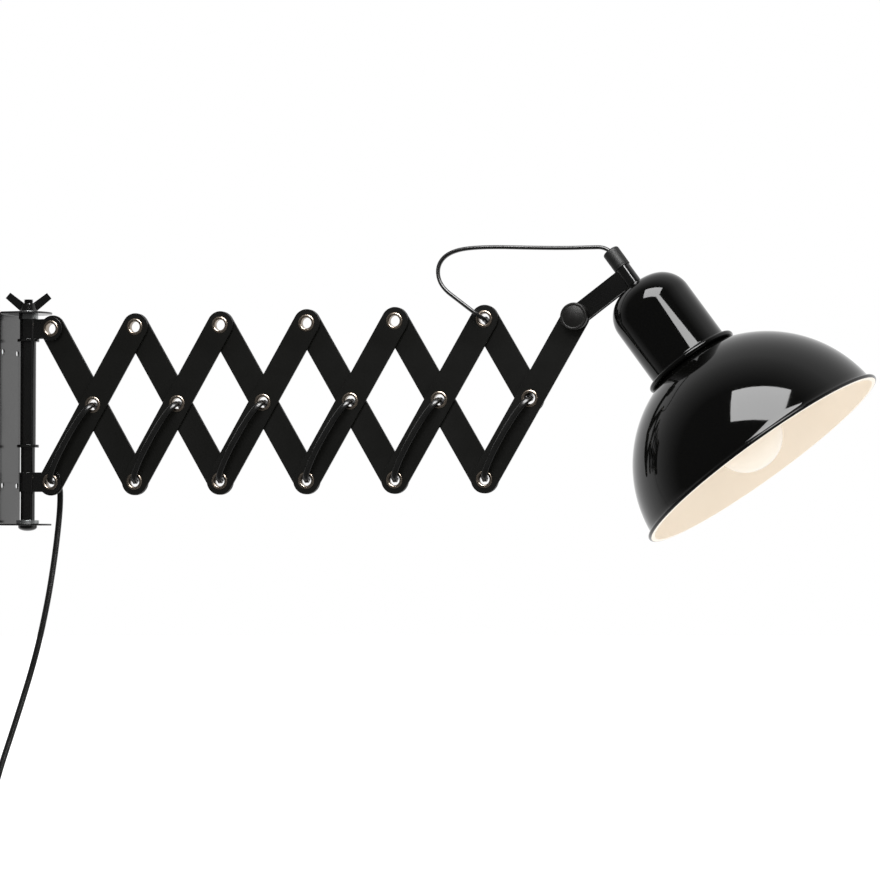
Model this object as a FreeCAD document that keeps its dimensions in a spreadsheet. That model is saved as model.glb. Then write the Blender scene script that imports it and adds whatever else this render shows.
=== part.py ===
import FreeCAD, Part
import math
import os
import Sketcher

# Scissor-arm wall lamp: a bent steel bracket with a post, twelve flat bars crossed in six places, a swivelling
# domed shade on the arm's end, and a flat cable woven through the hollow rivets that are the arm's pivots.
# X runs away from the wall along the arm, Z is up, and the lamp is seen from -Y. The origin is the middle of the
# bracket's back face. All lengths are millimetres and all angles degrees.

os.makedirs("parts", exist_ok=True)

SIZES = (
    # wall bracket, one bent sheet
    ("plate_height", 180.0),
    ("plate_width", 40.0),
    ("plate_sheet", 1.5),
    ("plate_bend", 1.0),
    ("post_offset", 18.0),
    ("fixing_radius", 2.5),
    ("fixing_across", 28.0),
    ("fixing_apart", 112.5),
    # post and what is threaded on it
    ("post_radius", 6.0),
    ("stud_radius", 4.0),
    ("stud_reach", 12.5),
    ("post_head_radius", 8.0),
    ("post_head_side", 1.2),
    ("post_head_crown", 3.4),
    ("top_collar_radius", 8.2),
    ("top_collar_length", 4.4),
    ("foot_collar_radius", 9.5),
    ("foot_collar_length", 3.0),
    ("stop_ring_radius", 9.25),
    ("stop_ring_length", 2.4),
    ("sleeve_radius", 6.6),
    ("sleeve_length", 86.9),
    ("wing_washer_radius", 8.0),
    ("wing_washer_sheet", 1.2),
    ("hub_radius", 7.5),
    ("hub_top_radius", 6.4),
    ("hub_length", 6.2),
    ("wing_root", 3.0),
    ("wing_reach", 19.2),
    ("wing_tip_low", 10.8),
    ("wing_tip_high", 15.5),
    ("wing_shoulder", 15.4),
    ("wing_sheet", 2.6),
    ("wing_turn", 25.0),
    # straps round the post
    ("strap_sheet", 1.2),
    ("strap_width", 16.4),
    ("pivot_reach", 22.0),
    ("ear_radius", 10.0),
    # bars and eyelets
    ("link_half", 75.0),
    ("half_angle", 30.5),
    ("bar_width", 22.8),
    ("bar_sheet", 2.0),
    ("layer_gap", 0.1),
    ("eyelet_radius", 5.0),
    ("eyelet_wall", 0.55),
    ("eyelet_flange", 7.0),
    ("eyelet_lip", 0.9),
    ("eyelet_roll", 1.1),
    ("spacer_radius", 8.0),
    # clearances
    ("side_gap", 0.05),
    ("running_gap", 0.05),
    ("end_gap", 0.1),
    ("seat_gap", 0.02),
    # head: strap, stem, knob
    ("head_tilt", 36.3),
    ("head_reach", 53.5),
    ("stem_radius", 5.0),
    ("stem_wall", 1.0),
    ("stem_above", 20.0),
    ("stem_below", 60.0),
    ("head_ear_radius", 8.2),
    ("knob_radius", 11.0),
    ("knob_length", 6.0),
    ("knob_edge", 0.8),
    ("knob_socket", 4.5),
    ("screw_radius", 3.0),
    ("screw_past_nut", 1.3),
    ("nut_corner_radius", 5.77),
    ("nut_length", 5.0),
    ("grip_radius", 7.0),
    ("grip_length", 17.3),
    ("grip_round", 2.0),
    ("grip_hole", 3.1),
    ("locknut_corner_radius", 9.8),
    ("locknut_length", 4.0),
    # neck cup
    ("neck_radius", 33.7),
    ("neck_wall", 1.0),
    ("neck_crown_round", 59.0),
    ("neck_corner_round", 23.5),
    ("neck_top_gap", 0.3),
    ("bead_radius", 2.25),
    ("bead_overhang", 5.9),
    # dome
    ("dome_radius", 105.0),
    ("dome_wall", 1.0),
    ("dome_seat_radius", 34.5),
    ("dome_hole_radius", 26.0),
    ("dome_centre_drop", 187.5),
    ("rim_drop", 181.6),
    ("rim_reach", 3.7),
    ("rim_bead_radius", 1.5),
    # lampholder and bulb
    ("holder_radius", 20.0),
    ("holder_neck_radius", 14.0),
    ("holder_neck_length", 9.0),
    ("holder_top_drop", 52.5),
    ("holder_cover", 1.8),
    ("cap_radius", 13.2),
    ("cap_length", 26.0),
    ("cap_gap", 0.3),
    ("bulb_radius", 30.0),
    ("bulb_length", 110.0),
    ("bulb_past_rim", 6.1),
    ("bulb_flank_angle", 60.0),
    ("bulb_flank_ease", 4.4),
    ("bulb_throat_radius", 14.2),
    ("bulb_throat_length", 6.3),
    ("bulb_wall", 1.0),
    # flat cable
    ("cable_width", 5.2),
    ("cable_height", 3.3),
    ("cable_stand_off", 7.4),
    ("cable_bow", 3.4),
    ("cable_shoulder", 20.0),
    ("cable_fold", 4.6),
    # coil of spare lead, tie and plug
    ("coil_radius", 36.0),
    ("coil_half_turns", 6.0),
    ("coil_turn_pitch", 4.0),
    ("coil_layer_pitch", 5.8),
    ("coil_tail", 28.0),
    ("tie_sheet", 1.0),
    ("tie_gap", 0.3),
    ("tie_length", 6.0),
    ("plug_width", 26.0),
    ("plug_length", 30.0),
    ("plug_depth", 13.7),
    ("plug_neck_width", 9.0),
    ("plug_neck_length", 11.0),
    ("pin_radius", 2.0),
    ("pin_length", 19.0),
    ("pin_apart", 18.6),
)


class Size:
    """A length, angle or ratio: its value now, and the text that ties it to the sheet."""

    def __init__(self, value, text):
        self.value = value
        self.text = text

    def __add__(self, other):
        other = size(other)
        return Size(self.value + other.value, "(%s + %s)" % (self.text, other.text))

    def __radd__(self, other):
        return size(other) + self

    def __sub__(self, other):
        other = size(other)
        return Size(self.value - other.value, "(%s - %s)" % (self.text, other.text))

    def __rsub__(self, other):
        return size(other) - self

    def __mul__(self, other):
        other = size(other)
        return Size(self.value * other.value, "(%s * %s)" % (self.text, other.text))

    def __rmul__(self, other):
        return size(other) * self

    def __truediv__(self, other):
        other = size(other)
        return Size(self.value / other.value, "(%s / %s)" % (self.text, other.text))

    def __neg__(self):
        return Size(-self.value, "(0 - %s)" % self.text)


def size(item):
    if isinstance(item, Size):
        return item
    return Size(float(item), "(%.6f)" % item)


def sine(angle):
    return Size(math.sin(math.radians(angle.value)), "sin(%s)" % angle.text)


def cosine(angle):
    return Size(math.cos(math.radians(angle.value)), "cos(%s)" % angle.text)


def angle_of(opposite, hypotenuse):
    """The angle in degrees whose sine is opposite over hypotenuse."""
    ratio = opposite / hypotenuse
    return Size(math.degrees(math.asin(ratio.value)), "(asin(%s) / 1deg)" % ratio.text)


def leg(hypotenuse, other):
    """The other short side of a right-angled triangle."""
    square = hypotenuse * hypotenuse - other * other
    return Size(math.sqrt(square.value), "sqrt(%s)" % square.text)


class Named:
    """The driving sizes by name."""


document = FreeCAD.newDocument("WallLamp")
page = document.addObject("Spreadsheet::Sheet", "Dims")
D = Named()
for row, (alias, number) in enumerate(SIZES, start=1):
    page.set("A%d" % row, alias)
    page.set("B%d" % row, str(number))
    page.setAlias("B%d" % row, alias)
    setattr(D, alias, Size(number, "Dims." + alias))
document.recompute()

AXES = {"X": FreeCAD.Vector(1, 0, 0), "Y": FreeCAD.Vector(0, 1, 0), "Z": FreeCAD.Vector(0, 0, 1)}
LYING = {"Z": ("Z", 0), "Y": ("X", -90), "X": ("Y", 90)}
pieces = []


def bind(item, name, length):
    length = size(length)
    setattr(item, name, length.value)
    if "Dims." in length.text:
        item.setExpression(name, length.text)


def place(item, x=0, y=0, z=0, axis="Z", turn=0):
    """Puts an object's own origin at x, y, z, turned about one axis."""
    spot = (size(x), size(y), size(z))
    turn = size(turn)
    tied = "Dims." in turn.text
    start = 1.0 if tied else turn.value
    base = FreeCAD.Vector(*[part.value for part in spot])
    item.Placement = FreeCAD.Placement(base, FreeCAD.Rotation(AXES[axis], start))
    for letter, part in zip("xyz", spot):
        if "Dims." in part.text:
            item.setExpression("Placement.Base." + letter, part.text)
    if tied:
        item.setExpression("Placement.Rotation.Angle", turn.text)
    return item


def rod(name, radius, length, x=0, y=0, z=0, along="Z"):
    item = document.addObject("Part::Cylinder", name)
    bind(item, "Radius", radius)
    bind(item, "Height", length)
    return place(item, x, y, z, *LYING[along])


def cone(name, radius, end_radius, length, z=0):
    item = document.addObject("Part::Cone", name)
    bind(item, "Radius1", radius)
    bind(item, "Radius2", end_radius)
    bind(item, "Height", length)
    return place(item, 0, 0, z)


def block(name, length, width, height, x, y, z):
    item = document.addObject("Part::Box", name)
    bind(item, "Length", length)
    bind(item, "Width", width)
    bind(item, "Height", height)
    return place(item, x, y, z)


def hexagon(name, corner, length, x=0, y=0, z=0, along="Z"):
    item = document.addObject("Part::Prism", name)
    item.Polygon = 6
    bind(item, "Circumradius", corner)
    bind(item, "Height", length)
    return place(item, x, y, z, *LYING[along])


def join(name, items):
    item = document.addObject("Part::MultiFuse", name)
    item.Shapes = items
    item.Refine = True
    return item


def overlap(name, items):
    item = document.addObject("Part::MultiCommon", name)
    item.Shapes = items
    return item


def cut(name, base, tools):
    item = document.addObject("Part::Cut", name)
    item.Base = base
    item.Tool = tools[0] if len(tools) == 1 else join(name + "_tools", tools)
    return item


def together(name, items):
    """Separate solids of one piece, or of several alike that move as one."""
    item = document.addObject("Part::Compound", name)
    item.Links = items
    return item


def keep(item, label):
    """Names a finished sub-part; its label is its file's name."""
    item.Label = label
    pieces.append(item)
    return item


# Sketches: every corner is held by its distances from the sketch's origin, so a size moves it.

def sketch_in(body, plane):
    drawing = body.newObject("Sketcher::SketchObject", body.Name + "_outline")
    for feature in body.Origin.OriginFeatures:
        if feature.Role == plane:
            drawing.AttachmentSupport = [(feature, "")]
    drawing.MapMode = "FlatFace"
    return drawing


def hold(drawing, geometry, point, across, up):
    for kind, length, axis in (("DistanceX", size(across), -2), ("DistanceY", size(up), -1)):
        if abs(length.value) < 1e-9:
            drawing.addConstraint(Sketcher.Constraint("PointOnObject", geometry, point, axis))
            continue
        if length.value > 0:
            constraint = Sketcher.Constraint(kind, -1, 1, geometry, point, length.value)
        else:
            length = -length
            constraint = Sketcher.Constraint(kind, geometry, point, -1, 1, length.value)
        index = drawing.addConstraint(constraint)
        drawing.setExpression("Constraints[%d]" % index, length.text)


def hold_radius(drawing, geometry, radius):
    radius = size(radius)
    index = drawing.addConstraint(Sketcher.Constraint("Radius", geometry, radius.value))
    drawing.setExpression("Constraints[%d]" % index, radius.text)


def arc_between(start, stop, radius, left):
    half = (stop - start) * 0.5
    reach = math.sqrt(max(radius * radius - half.Length * half.Length, 0.0))
    side = FreeCAD.Vector(-half.y, half.x, 0)
    side.normalize()
    centre = start + half + side * (reach if left else -reach)
    first, last = (start, stop) if left else (stop, start)
    begin = math.atan2(first.y - centre.y, first.x - centre.x)
    end = math.atan2(last.y - centre.y, last.x - centre.x)
    if end < begin:
        end += 2 * math.pi
    return Part.ArcOfCircle(Part.Circle(centre, FreeCAD.Vector(0, 0, 1), radius), begin, end)


def outline(drawing, points):
    """A closed outline. A third value on a point is the radius of the arc to the next one: left +, right -."""
    spots = [FreeCAD.Vector(size(point[0]).value, size(point[1]).value, 0) for point in points]
    ends = []
    for index, point in enumerate(points):
        start = spots[index]
        stop = spots[(index + 1) % len(points)]
        if len(point) == 3:
            radius = size(point[2])
            left = radius.value > 0
            number = drawing.addGeometry(arc_between(start, stop, abs(radius.value), left), False)
            ends.append((number, 1, 2) if left else (number, 2, 1))
        else:
            number = drawing.addGeometry(Part.LineSegment(start, stop), False)
            ends.append((number, 1, 2))
    for here, after in zip(ends, ends[1:] + ends[:1]):
        drawing.addConstraint(Sketcher.Constraint("Coincident", here[0], here[2], after[0], after[1]))
    for point, (number, first, _) in zip(points, ends):
        hold(drawing, number, first, point[0], point[1])
        if len(point) == 3:
            radius = size(point[2])
            hold_radius(drawing, number, radius if radius.value > 0 else -radius)


def curve(x, z, radius, start, stop, steps):
    """Corners along an arc about x, z, from one angle to another measured from upright, in even steps."""
    corners = []
    for step in range(steps + 1):
        angle = start + (stop - start) * (step / steps)
        corners.append((x + radius * sine(angle), z + radius * cosine(angle)))
    return corners


def bead(x, z, radius, start, stop, steps=4):
    """A rolled edge's corners, from one fixed angle to another measured from upright."""
    return curve(x, z, radius, size(start), size(stop), steps)


def circle_in(drawing, across, up, radius):
    centre = FreeCAD.Vector(size(across).value, size(up).value, 0)
    circle = Part.Circle(centre, FreeCAD.Vector(0, 0, 1), size(radius).value)
    number = drawing.addGeometry(circle, False)
    hold(drawing, number, 3, across, up)
    hold_radius(drawing, number, radius)


def stadium_in(drawing, low, high, radius):
    """A bar's outline: two long sides and two half-round ends, about the sketch's upright axis."""
    radius = size(radius)
    bottom = size(low).value
    top = size(high).value
    wide = radius.value
    normal = FreeCAD.Vector(0, 0, 1)
    upper_circle = Part.Circle(FreeCAD.Vector(0, top, 0), normal, wide)
    lower_circle = Part.Circle(FreeCAD.Vector(0, bottom, 0), normal, wide)
    upper = drawing.addGeometry(Part.ArcOfCircle(upper_circle, 0, math.pi), False)
    left_line = Part.LineSegment(FreeCAD.Vector(-wide, top, 0), FreeCAD.Vector(-wide, bottom, 0))
    left = drawing.addGeometry(left_line, False)
    lower = drawing.addGeometry(Part.ArcOfCircle(lower_circle, math.pi, 2 * math.pi), False)
    right_line = Part.LineSegment(FreeCAD.Vector(wide, bottom, 0), FreeCAD.Vector(wide, top, 0))
    right = drawing.addGeometry(right_line, False)
    for here, after in ((upper, left), (left, lower), (lower, right), (right, upper)):
        drawing.addConstraint(Sketcher.Constraint("Tangent", here, 2, after, 1))
    drawing.addConstraint(Sketcher.Constraint("Equal", upper, lower))
    hold(drawing, upper, 3, 0, high)
    hold(drawing, lower, 3, 0, low)
    hold_radius(drawing, upper, radius)


def padded(body, drawing, thickness):
    """Extrudes a sketch by the same amount to both sides."""
    pad = body.newObject("PartDesign::Pad", body.Name + "_pad")
    pad.Profile = drawing
    bind(pad, "Length", thickness)
    pad.Midplane = True
    return body


def plate(name, points, thickness, plane="XZ_Plane"):
    body = document.addObject("PartDesign::Body", name)
    drawing = sketch_in(body, plane)
    outline(drawing, points)
    return padded(body, drawing, thickness)


def turned(name, points):
    """A profile turned a full circle about the upright axis."""
    body = document.addObject("PartDesign::Body", name)
    drawing = sketch_in(body, "XZ_Plane")
    outline(drawing, points)
    spin = body.newObject("PartDesign::Revolution", name + "_turn")
    spin.Profile = drawing
    spin.ReferenceAxis = (drawing, ["V_Axis"])
    spin.Angle = 360
    return body


# Places that more than one piece shares.

HALF_HEIGHT = D.plate_height / 2
FLANGE_INSIDE = HALF_HEIGHT - D.plate_sheet
CLAMP_TOP = FLANGE_INSIDE - D.top_collar_length - D.end_gap
PIVOT_TOP = CLAMP_TOP - D.strap_width / 2
STEP_ACROSS = D.link_half * sine(D.half_angle)
STEP_UP = D.link_half * cosine(D.half_angle)
PIVOT_BOTTOM = PIVOT_TOP - 2 * STEP_UP
PIVOT_FIRST = D.post_offset + D.pivot_reach
LAYER = (D.bar_sheet + D.layer_gap) / 2
STACK_SIDE = D.bar_sheet + D.layer_gap / 2
EAR_SIDE = STACK_SIDE + D.side_gap
EAR_OUTSIDE = EAR_SIDE + D.strap_sheet
HINGE_HOLE = D.eyelet_radius + D.running_gap
SCREW_HOLE = D.screw_radius + D.running_gap
POST_BORE = D.post_radius + D.running_gap


def top_pivot(count):
    """Where the upper pivot number count of the arm is, the one at the wall being 0."""
    return PIVOT_FIRST + 2 * count * STEP_ACROSS


def middle_pivot(count):
    """Where the crossing number count of the arm is, from 1 to 6."""
    return PIVOT_FIRST + (2 * count - 1) * STEP_ACROSS


# Wall bracket: a channel of bent sheet, its two flanges round-ended about the post.

reach = D.post_offset + D.plate_width / 2
corner = D.plate_bend + D.plate_sheet
channel = plate("bracket_channel", [
    (corner, -HALF_HEIGHT),
    (reach, -HALF_HEIGHT),
    (reach, -FLANGE_INSIDE),
    (corner, -FLANGE_INSIDE, -D.plate_bend),
    (D.plate_sheet, D.plate_bend - FLANGE_INSIDE),
    (D.plate_sheet, FLANGE_INSIDE - D.plate_bend, -D.plate_bend),
    (corner, FLANGE_INSIDE),
    (reach, FLANGE_INSIDE),
    (reach, HALF_HEIGHT),
    (corner, HALF_HEIGHT, corner),
    (0, HALF_HEIGHT - corner),
    (0, corner - HALF_HEIGHT, corner),
], D.plate_width)
tongue_end = rod("bracket_tongue_end", D.plate_width / 2, D.plate_height, D.post_offset, 0, -HALF_HEIGHT)
tongue_side = block("bracket_tongue_side", D.post_offset, D.plate_width, D.plate_height,
                    0, -D.plate_width / 2, -HALF_HEIGHT)
sheet_metal = overlap("bracket_sheet", [channel, join("bracket_tongue", [tongue_end, tongue_side])])
holes = [
    rod("bracket_foot_hole", POST_BORE, 2 * corner, D.post_offset, 0, -HALF_HEIGHT - D.plate_sheet),
    rod("bracket_top_hole", D.stud_radius + D.running_gap, 2 * corner, D.post_offset, 0,
        FLANGE_INSIDE - D.plate_sheet),
]
for sign_y in (-1, 1):
    for sign_z in (-1, 1):
        holes.append(rod("bracket_fixing", D.fixing_radius, 3 * D.plate_sheet, -D.plate_sheet,
                         sign_y * D.fixing_across / 2, sign_z * D.fixing_apart / 2, "X"))
keep(cut("wall_bracket_sheet", sheet_metal, holes), "wall_bracket")

# Post: a domed head under the lower flange, a plain rod, and a threaded stud through the upper flange.

stud_top = HALF_HEIGHT + D.stud_reach - D.plate_sheet
post = turned("post", [
    (0, -HALF_HEIGHT - D.post_head_side - D.post_head_crown),
    (D.post_head_radius * 0.55, -HALF_HEIGHT - D.post_head_side - D.post_head_crown * 0.88),
    (D.post_head_radius * 0.88, -HALF_HEIGHT - D.post_head_side - D.post_head_crown * 0.45),
    (D.post_head_radius, -HALF_HEIGHT - D.post_head_side),
    (D.post_head_radius, -HALF_HEIGHT),
    (D.post_radius, -HALF_HEIGHT),
    (D.post_radius, FLANGE_INSIDE),
    (D.stud_radius, FLANGE_INSIDE),
    (D.stud_radius, stud_top - 0.8),
    (D.stud_radius - 0.8, stud_top),
    (0, stud_top),
])
place(post, D.post_offset, 0, 0)
keep(post, "post_rod")


def ring(name, radius, bore, length, x, z):
    """A flat ring about an upright axis, its lower face at z."""
    outer = rod(name + "_outer", radius, length, x, 0, z)
    inner = rod(name + "_inner", bore, length + 2 * D.plate_sheet, x, 0, z - D.plate_sheet)
    return cut(name, outer, [inner])


post_seat = D.post_radius + D.seat_gap
ring_top = CLAMP_TOP - D.strap_width - D.end_gap
sleeve_top = ring_top - D.stop_ring_length
sleeve_foot = sleeve_top - D.sleeve_length
keep(ring("sleeve", D.sleeve_radius, post_seat, D.sleeve_length, D.post_offset, sleeve_foot), "post_sleeve")
keep(together("stop_rings", [
    ring("upper_ring", D.stop_ring_radius, post_seat, D.stop_ring_length, D.post_offset, sleeve_top),
    ring("lower_ring", D.stop_ring_radius, post_seat, D.stop_ring_length, D.post_offset,
         sleeve_foot - D.stop_ring_length),
]), "post_rings")
keep(together("collars", [
    ring("top_collar", D.top_collar_radius, post_seat, D.top_collar_length, D.post_offset,
         FLANGE_INSIDE - D.top_collar_length),
    ring("foot_collar", D.foot_collar_radius, post_seat, D.foot_collar_length, D.post_offset, -FLANGE_INSIDE),
    ring("wing_washer", D.wing_washer_radius, D.stud_radius + D.running_gap, D.wing_washer_sheet,
         D.post_offset, HALF_HEIGHT),
]), "post_washers")

# Wing nut: a tapered hub and two wings that lean outwards.

wings = []
for side in (1, -1):
    edge = [
        (side * D.wing_root, 0.5),
        (side * D.hub_radius, 0.5),
        (side * D.wing_reach, D.wing_tip_low),
        (side * D.wing_shoulder, D.wing_tip_high),
        (side * D.wing_root, D.hub_length),
    ]
    wings.append(plate("wing_right" if side > 0 else "wing_left", edge, D.wing_sheet))
hub = cone("wing_hub", D.hub_radius, D.hub_top_radius, D.hub_length)
thread = rod("wing_thread", D.stud_radius + D.running_gap, D.wing_tip_high + 2, 0, 0, -1)
nut = cut("wing_nut_body", join("wing_nut_solid", [hub] + wings), [thread])
place(nut, D.post_offset, 0, HALF_HEIGHT + D.wing_washer_sheet, "Z", D.wing_turn)
keep(nut, "wing_nut")


# Straps: one strip of sheet wrapped round a rod, its two ends side by side as ears that hold a bar's pivot.

def strap(name, inner, reach, ear, hole, end):
    """A strap about the upright axis, its ears' hole at reach along end, which is 1 or -1."""
    outer = inner + D.strap_sheet
    start = 0 if end > 0 else -reach
    wrap = rod(name + "_wrap", outer, D.strap_width, 0, 0, -D.strap_width / 2)
    arms = block(name + "_arms", reach, 2 * EAR_OUTSIDE, D.strap_width, start, -EAR_OUTSIDE, -D.strap_width / 2)
    head = rod(name + "_head", ear, 2 * EAR_OUTSIDE, end * reach, -EAR_OUTSIDE, 0, "Y")
    bore = rod(name + "_bore", inner, 2 * D.strap_width, 0, 0, -D.strap_width)
    slit_start = 0 if end > 0 else -(reach + 2 * ear)
    slit = block(name + "_slit", reach + 2 * ear, 2 * EAR_SIDE, 4 * ear, slit_start, -EAR_SIDE, -2 * ear)
    pin = rod(name + "_pin", hole, 4 * EAR_OUTSIDE, end * reach, -2 * EAR_OUTSIDE, 0, "Y")
    return cut(name, join(name + "_solid", [wrap, arms, head]), [bore, slit, pin])


upper_strap = strap("strap_upper", POST_BORE, D.pivot_reach, D.ear_radius, HINGE_HOLE, 1)
place(upper_strap, D.post_offset, 0, PIVOT_TOP)
keep(upper_strap, "upper_clamp")
lower_strap = strap("strap_lower", POST_BORE, D.pivot_reach, D.ear_radius, HINGE_HOLE, 1)
place(lower_strap, D.post_offset, 0, PIVOT_BOTTOM)
keep(lower_strap, "lower_clamp")


# Eyelets: hollow rivets whose bores carry the cable, rolled over at the front and flared at the back.

def eyelet(name, half, x, z):
    bore = D.eyelet_radius - D.eyelet_wall
    rivet = turned(name, [
        (bore, -half - D.eyelet_lip),
        (D.eyelet_flange, -half),
        (D.eyelet_radius, -half),
        (D.eyelet_radius, half),
        (D.eyelet_flange, half),
        (bore + D.eyelet_roll, half + D.eyelet_lip),
        (bore, half + D.eyelet_lip / 2),
    ])
    return place(rivet, x, 0, z, "X", 90)


def spacer(name, radius, hole, x, z, layer):
    """A disc as thick as a bar, in the layer that no bar takes there: -1 front, 1 back."""
    start = layer * LAYER - D.bar_sheet / 2
    disc = rod(name + "_disc", radius, D.bar_sheet, x, start, z, "Y")
    pin = rod(name + "_hole", hole, 3 * D.bar_sheet, x, start - D.bar_sheet, z, "Y")
    return cut(name, disc, [pin])


stack_half = STACK_SIDE + D.side_gap
ear_half = EAR_OUTSIDE + D.side_gap
keep(together("upper_rivet", [
    eyelet("upper_rivet_tube", ear_half, PIVOT_FIRST, PIVOT_TOP),
    spacer("upper_rivet_disc", D.spacer_radius, HINGE_HOLE, PIVOT_FIRST, PIVOT_TOP, -1),
]), "upper_eyelet")
keep(together("lower_rivet", [
    eyelet("lower_rivet_tube", ear_half, PIVOT_FIRST, PIVOT_BOTTOM),
    spacer("lower_rivet_disc", D.spacer_radius, HINGE_HOLE, PIVOT_FIRST, PIVOT_BOTTOM, 1),
]), "lower_eyelet")
for number in range(1, 7):
    rivets = []
    if number > 1:
        rivets.append(eyelet("rivet_b%d" % number, stack_half, top_pivot(number - 1), PIVOT_BOTTOM))
    rivets.append(eyelet("rivet_m%d" % number, stack_half, middle_pivot(number), PIVOT_TOP - STEP_UP))
    if number < 6:
        rivets.append(eyelet("rivet_t%d" % number, stack_half, top_pivot(number), PIVOT_TOP))
    keep(together("rivets_%d" % number, rivets), "eyelets_%d" % number)


# Bars: flat steel with half-round ends. Front bars lean to the right at the top, back bars to the left.

def bar(name, low, holes):
    body = document.addObject("PartDesign::Body", name)
    drawing = sketch_in(body, "XZ_Plane")
    stadium_in(drawing, low, D.link_half, D.bar_width / 2)
    for height, radius in holes:
        circle_in(drawing, 0, height, radius)
    return padded(body, drawing, D.bar_sheet)


for number in range(1, 7):
    top_hole = SCREW_HOLE if number == 6 else HINGE_HOLE
    front = bar("bar_front_%d" % number, -D.link_half,
                [(-D.link_half, HINGE_HOLE), (0, HINGE_HOLE), (D.link_half, top_hole)])
    place(front, middle_pivot(number), -LAYER, PIVOT_TOP - STEP_UP, "Y", D.half_angle)
    keep(front, "front_bar_%d" % number)
    if number < 6:
        back = bar("bar_back_%d" % number, -D.link_half,
                   [(-D.link_half, HINGE_HOLE), (0, HINGE_HOLE), (D.link_half, HINGE_HOLE)])
    else:
        back = bar("bar_back_6", 0, [(0, HINGE_HOLE), (D.link_half, HINGE_HOLE)])
    place(back, middle_pivot(number), LAYER, PIVOT_TOP - STEP_UP, "Y", -D.half_angle)
    keep(back, "back_bar_%d" % number)

# Head: everything about the stem is drawn upright and then set at the arm's end, tilted. Heights are from the
# middle of the strap.

HEAD_X = top_pivot(6)
STRAP_X = HEAD_X + D.head_reach * cosine(D.head_tilt)
STRAP_Z = PIVOT_TOP + D.head_reach * sine(D.head_tilt)


def on_head(item, label):
    place(item, STRAP_X, 0, STRAP_Z, "Y", -D.head_tilt)
    return keep(item, label)


on_head(strap("strap_head", D.stem_radius + D.running_gap, D.head_reach, D.head_ear_radius, SCREW_HOLE, -1),
        "head_strap")
keep(spacer("head_disc", D.head_ear_radius, SCREW_HOLE, HEAD_X, PIVOT_TOP, 1), "head_spacer")

knob_back = ear_half
knob = turned("knob_handle", [
    (SCREW_HOLE, 0),
    (D.knob_radius - D.knob_edge, 0),
    (D.knob_radius, D.knob_edge),
    (D.knob_radius, D.knob_length - D.knob_edge),
    (D.knob_radius - D.knob_edge, D.knob_length),
    (0, D.knob_length),
    (0, D.knob_socket),
    (SCREW_HOLE, D.knob_socket),
])
place(knob, HEAD_X, -knob_back, PIVOT_TOP, "X", 90)
keep(knob, "knob")
screw_length = D.knob_socket + 2 * knob_back + D.nut_length + D.screw_past_nut
keep(rod("screw", D.screw_radius, screw_length, HEAD_X, -knob_back - D.knob_socket, PIVOT_TOP, "Y"), "knob_screw")
nut_body = hexagon("nut_body", D.nut_corner_radius, D.nut_length, HEAD_X, knob_back, PIVOT_TOP, "Y")
nut_hole = rod("nut_hole", SCREW_HOLE, 2 * D.nut_length, HEAD_X, knob_back - D.nut_length / 2, PIVOT_TOP, "Y")
keep(cut("nut", nut_body, [nut_hole]), "knob_nut")

# Stem, cord grip and lock nut.

stem_bore = D.stem_radius - D.stem_wall
stem_seat = D.stem_radius + D.seat_gap
stem = cut("stem_tube", rod("stem_solid", D.stem_radius, D.stem_above + D.stem_below, 0, 0, -D.stem_below),
           [rod("stem_hole", stem_bore, 2 * (D.stem_above + D.stem_below), 0, 0, -2 * D.stem_below)])
on_head(stem, "stem_pipe")
grip_foot = D.strap_width / 2 + D.end_gap
grip_top = grip_foot + D.grip_length
on_head(turned("grip", [
    (stem_seat, grip_foot),
    (D.grip_radius, grip_foot),
    (D.grip_radius, grip_top - D.grip_round),
    (D.grip_radius - D.grip_round * 0.4, grip_top - D.grip_round * 0.4),
    (D.grip_radius - D.grip_round, grip_top),
    (D.grip_hole, grip_top),
    (D.grip_hole, D.stem_above + D.end_gap),
    (stem_seat, D.stem_above + D.end_gap),
]), "cord_grip")

# Neck cup: a crown, a rounded shoulder, a straight side and a rolled lip. The dome's flat top seats on its foot.

neck_apex = -(D.strap_width / 2 + D.neck_top_gap)
crown_centre = neck_apex - D.neck_crown_round
corner_x = D.neck_radius - D.neck_corner_round
corner_z = crown_centre + leg(D.neck_crown_round - D.neck_corner_round, corner_x)
lean = angle_of(corner_x, D.neck_crown_round - D.neck_corner_round)
crown_inner = D.neck_crown_round - D.neck_wall
corner_inner = D.neck_corner_round - D.neck_wall
seat_z = leg(D.dome_radius, D.dome_seat_radius) - D.dome_centre_drop
bead_x = D.neck_radius + D.bead_overhang - D.bead_radius
bead_z = seat_z + D.bead_radius
inside = D.neck_radius - D.neck_wall
upright = size(90)
outer_start = angle_of(stem_seat, D.neck_crown_round)
inner_start = angle_of(stem_seat, crown_inner)
nut_angle = angle_of(D.locknut_corner_radius, crown_inner)
profile = curve(0, crown_centre, D.neck_crown_round, outer_start, lean, 2)
profile += curve(corner_x, corner_z, D.neck_corner_round, lean, upright, 5)[1:]
profile += [(D.neck_radius, bead_z + D.bead_radius)]
profile += bead(bead_x, bead_z, D.bead_radius, 0, 180)
profile += [(inside, seat_z)]
profile += curve(corner_x, corner_z, corner_inner, upright, lean, 4)
profile += curve(0, crown_centre, crown_inner, lean, nut_angle, 1)[1:]
profile += curve(0, crown_centre, crown_inner, nut_angle, inner_start, 1)[1:]
neck = turned("neck", profile)
on_head(neck, "neck_cup")
nut_flat = D.locknut_corner_radius
locknut_top = crown_centre + leg(crown_inner, nut_flat) - D.seat_gap
locknut = cut("locknut", hexagon("locknut_body", nut_flat, D.locknut_length, 0, 0, locknut_top - D.locknut_length),
              [rod("locknut_hole", stem_seat, 3 * D.locknut_length, 0, 0, locknut_top - 2 * D.locknut_length)])
on_head(locknut, "stem_nut")

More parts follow.
